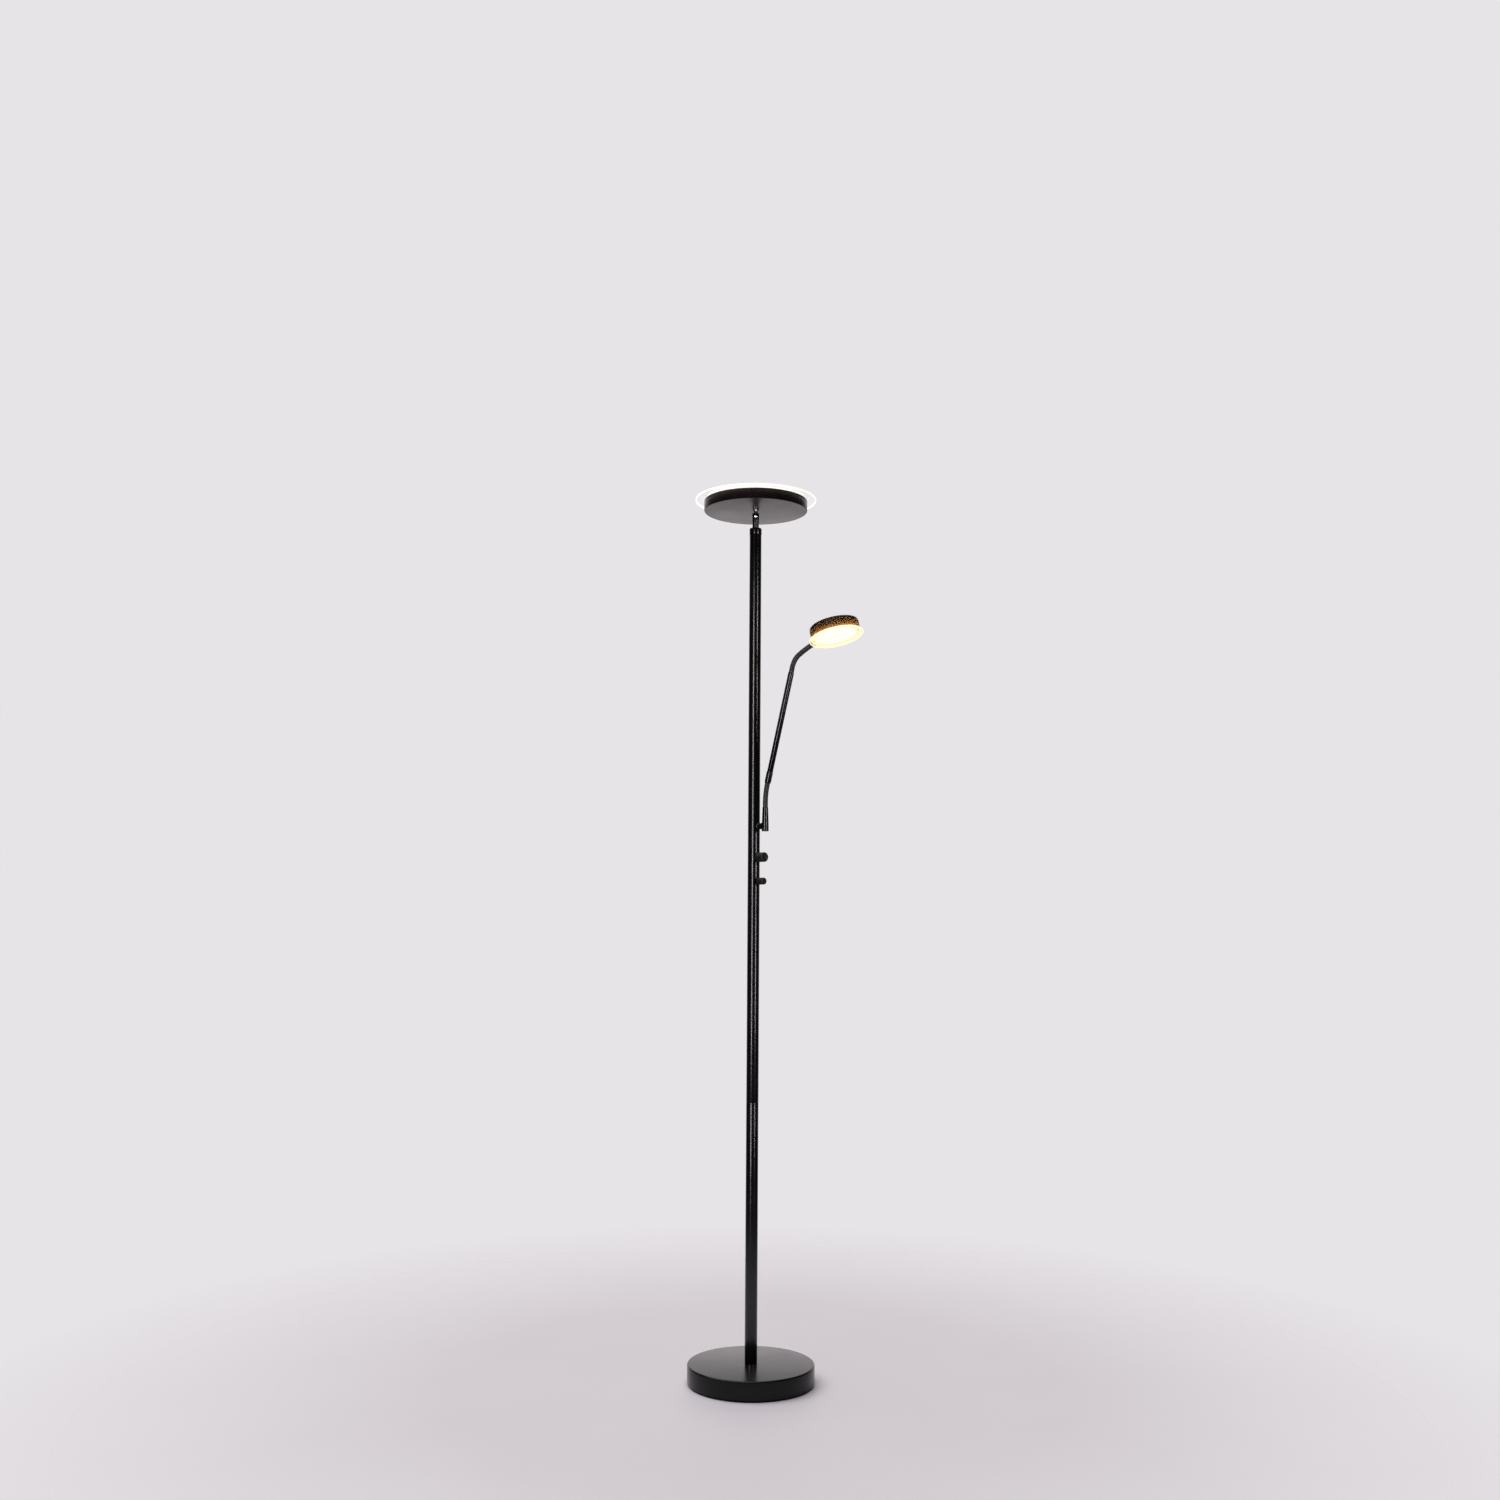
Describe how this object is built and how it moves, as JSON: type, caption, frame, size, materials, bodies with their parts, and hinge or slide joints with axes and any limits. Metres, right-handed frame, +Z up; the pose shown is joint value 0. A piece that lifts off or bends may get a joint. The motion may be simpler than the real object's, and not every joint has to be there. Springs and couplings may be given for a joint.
{
  "type": "torchiere floor lamp",
  "caption": "Floor lamp with a flat tilting uplight head on a slim pole, a weighted round base, rotary controls and a small reading head on a flexible arm.",
  "frame": {"origin": "centre of the base rest face, on the floor", "axes": "+Z up along the pole, +X towards the reading arm and the knobs"},
  "size_m": [0.4291, 0.254, 1.8],
  "materials": {
    "powder_black": "satin black powder coat on steel",
    "black_aluminium": "satin black coat on cast aluminium",
    "black_plastic": "fine matt moulded black",
    "flex_steel": "satin black wound steel",
    "cast_iron": "raw cast",
    "pad_foam": "closed-cell foam",
    "zinc_steel": "zinc plated",
    "chrome": "polished chrome",
    "aluminium": "mill finish",
    "white_board": "white solder mask",
    "opal_diffuser": "opal, lit warm white",
    "clear_acrylic": "clear, polished",
    "lead_sheath": "matt black sheath"
  },
  "bodies": {
    "stand": {"base_cover": "powder_black", "base_weight": "cast_iron", "base_pad": "pad_foam", "base_stud": "zinc_steel", "base_washer": "zinc_steel", "base_nut": "zinc_steel", "cord_grommet": "black_plastic", "pole_tube_1": "powder_black", "pole_tube_2": "powder_black", "pole_tube_3": "powder_black", "pole_tube_4": "powder_black", "pole_coupler_1": "zinc_steel", "pole_coupler_2": "zinc_steel", "pole_coupler_3": "zinc_steel", "pole_foot": "zinc_steel", "pole_cap": "powder_black", "lower_lead": "lead_sheath", "upper_lead": "lead_sheath", "dimmer_body": "black_plastic", "dimmer_nut": "powder_black", "switch_body": "black_plastic", "switch_nut": "powder_black", "arm_bracket": "powder_black", "arm_bracket_nut": "zinc_steel", "arm_socket": "powder_black"},
    "dimmer": {"dimmer_spindle": "zinc_steel", "dimmer_knob": "black_plastic"},
    "switch": {"switch_spindle": "zinc_steel", "switch_knob": "black_plastic"},
    "lower_link_1": {"lower_neck_link_1": "flex_steel"},
    "lower_link_2": {"lower_neck_link_2": "flex_steel"},
    "lower_link_3": {"lower_neck_link_3": "flex_steel"},
    "lower_link_4": {"lower_neck_link_4": "flex_steel"},
    "arm": {"arm_ferrule": "powder_black", "arm_tube": "powder_black", "arm_tube_plug": "powder_black"},
    "upper_link_1": {"upper_neck_link_1": "flex_steel"},
    "upper_link_2": {"upper_neck_link_2": "flex_steel"},
    "upper_link_3": {"upper_neck_link_3": "flex_steel"},
    "upper_link_4": {"upper_neck_link_4": "flex_steel"},
    "upper_link_5": {"upper_neck_link_5": "flex_steel"},
    "upper_link_6": {"upper_neck_link_6": "flex_steel"},
    "reading_head": {"reading_ferrule": "powder_black", "reading_ferrule_nut": "zinc_steel", "reading_housing": "black_aluminium", "reading_led_board": "white_board", "reading_diffuser": "opal_diffuser", "reading_disc": "clear_acrylic"},
    "head_joint": {"head_socket": "powder_black", "socket_nut": "zinc_steel"},
    "main_head": {"ball_stud": "chrome", "stem_nut": "zinc_steel", "head_pan": "powder_black", "head_heat_plate": "aluminium", "head_driver": "black_plastic", "head_led_board": "white_board", "head_diffuser": "opal_diffuser", "head_gasket": "black_plastic", "head_disc": "clear_acrylic"}
  },
  "joints": [
    {"name": "dimmer_turn", "type": "hinge", "parent": "stand", "child": "dimmer", "pos_m": [0, 0, 1.044], "axis": [1, 0, 0], "range_deg": [0, 270]},
    {"name": "switch_turn", "type": "hinge", "parent": "stand", "child": "switch", "pos_m": [0, 0, 0.995], "axis": [1, 0, 0], "range_deg": [0, 270]},
    {"name": "head_turn", "type": "hinge", "parent": "stand", "child": "head_joint", "pos_m": [0, 0, 1.764], "axis": [0, 0, 1], "range_deg": [-170, 170]},
    {"name": "head_tilt", "type": "hinge", "parent": "head_joint", "child": "main_head", "pos_m": [0, 0, 1.764], "axis": [0.6428, 0.766, 0], "range_deg": [0, 75]},
    {"name": "lower_neck_bend", "type": "hinge", "parent": "stand", "child": "lower_link_1", "pos_m": [0.036, 0, 1.146], "axis": [0.0052, 1, 0], "range_deg": [-6, 18]},
    {"name": "lower_neck_side", "type": "hinge", "parent": "lower_link_1", "child": "lower_link_2", "pos_m": [0.03608, 0, 1.1585], "axis": [0.9994, 0, -0.0338], "range_deg": [-22, 22]},
    {"name": "lower_neck_bend_2", "type": "hinge", "parent": "lower_link_2", "child": "lower_link_3", "pos_m": [0.03708, 0, 1.17095], "axis": [0.0052, 1, 0], "range_deg": [-6, 18]},
    {"name": "lower_neck_side_2", "type": "hinge", "parent": "lower_link_3", "child": "lower_link_4", "pos_m": [0.03926, 0, 1.18326], "axis": [0.9755, 0, -0.2201], "range_deg": [-22, 22]},
    {"name": "lower_neck_bend_3", "type": "hinge", "parent": "lower_link_4", "child": "arm", "pos_m": [0.04258, 0, 1.19531], "axis": [0.0052, 1, 0], "range_deg": [-6, 18]},
    {"name": "upper_neck_bend", "type": "hinge", "parent": "arm", "child": "upper_link_1", "pos_m": [0.11497, 0, 1.41677], "axis": [0.0052, 1, 0], "range_deg": [-20, 6]},
    {"name": "upper_neck_side", "type": "hinge", "parent": "upper_link_1", "child": "upper_link_2", "pos_m": [0.12025, 0, 1.43187], "axis": [0.9013, 0, -0.4331], "range_deg": [-20, 20]},
    {"name": "upper_neck_bend_2", "type": "hinge", "parent": "upper_link_2", "child": "upper_link_3", "pos_m": [0.12997, 0, 1.44442], "axis": [0.0052, 1, 0], "range_deg": [-20, 6]},
    {"name": "upper_neck_side_2", "type": "hinge", "parent": "upper_link_3", "child": "upper_link_4", "pos_m": [0.14384, 0, 1.45227], "axis": [0.406, 0, -0.9139], "range_deg": [-20, 20]},
    {"name": "upper_neck_bend_3", "type": "hinge", "parent": "upper_link_4", "child": "upper_link_5", "pos_m": [0.15861, 0, 1.45841], "axis": [0.0052, 1, 0], "range_deg": [-20, 6]},
    {"name": "upper_neck_side_3", "type": "hinge", "parent": "upper_link_5", "child": "upper_link_6", "pos_m": [0.17367, 0, 1.46383], "axis": [0.3154, 0, -0.949], "range_deg": [-20, 20]},
    {"name": "upper_neck_bend_4", "type": "hinge", "parent": "upper_link_6", "child": "reading_head", "pos_m": [0.18897, 0, 1.4685], "axis": [0.0052, 1, 0], "range_deg": [-20, 6]}
  ],
  "couplings": [
    {"joint": "lower_neck_bend_2", "follows": "lower_neck_bend", "ratio": 1},
    {"joint": "lower_neck_side_2", "follows": "lower_neck_side", "ratio": 1},
    {"joint": "lower_neck_bend_3", "follows": "lower_neck_bend", "ratio": 1},
    {"joint": "upper_neck_bend_2", "follows": "upper_neck_bend", "ratio": 1},
    {"joint": "upper_neck_side_2", "follows": "upper_neck_side", "ratio": 1},
    {"joint": "upper_neck_bend_3", "follows": "upper_neck_bend", "ratio": 1},
    {"joint": "upper_neck_side_3", "follows": "upper_neck_side", "ratio": 1},
    {"joint": "upper_neck_bend_4", "follows": "upper_neck_bend", "ratio": 1}
  ]
}
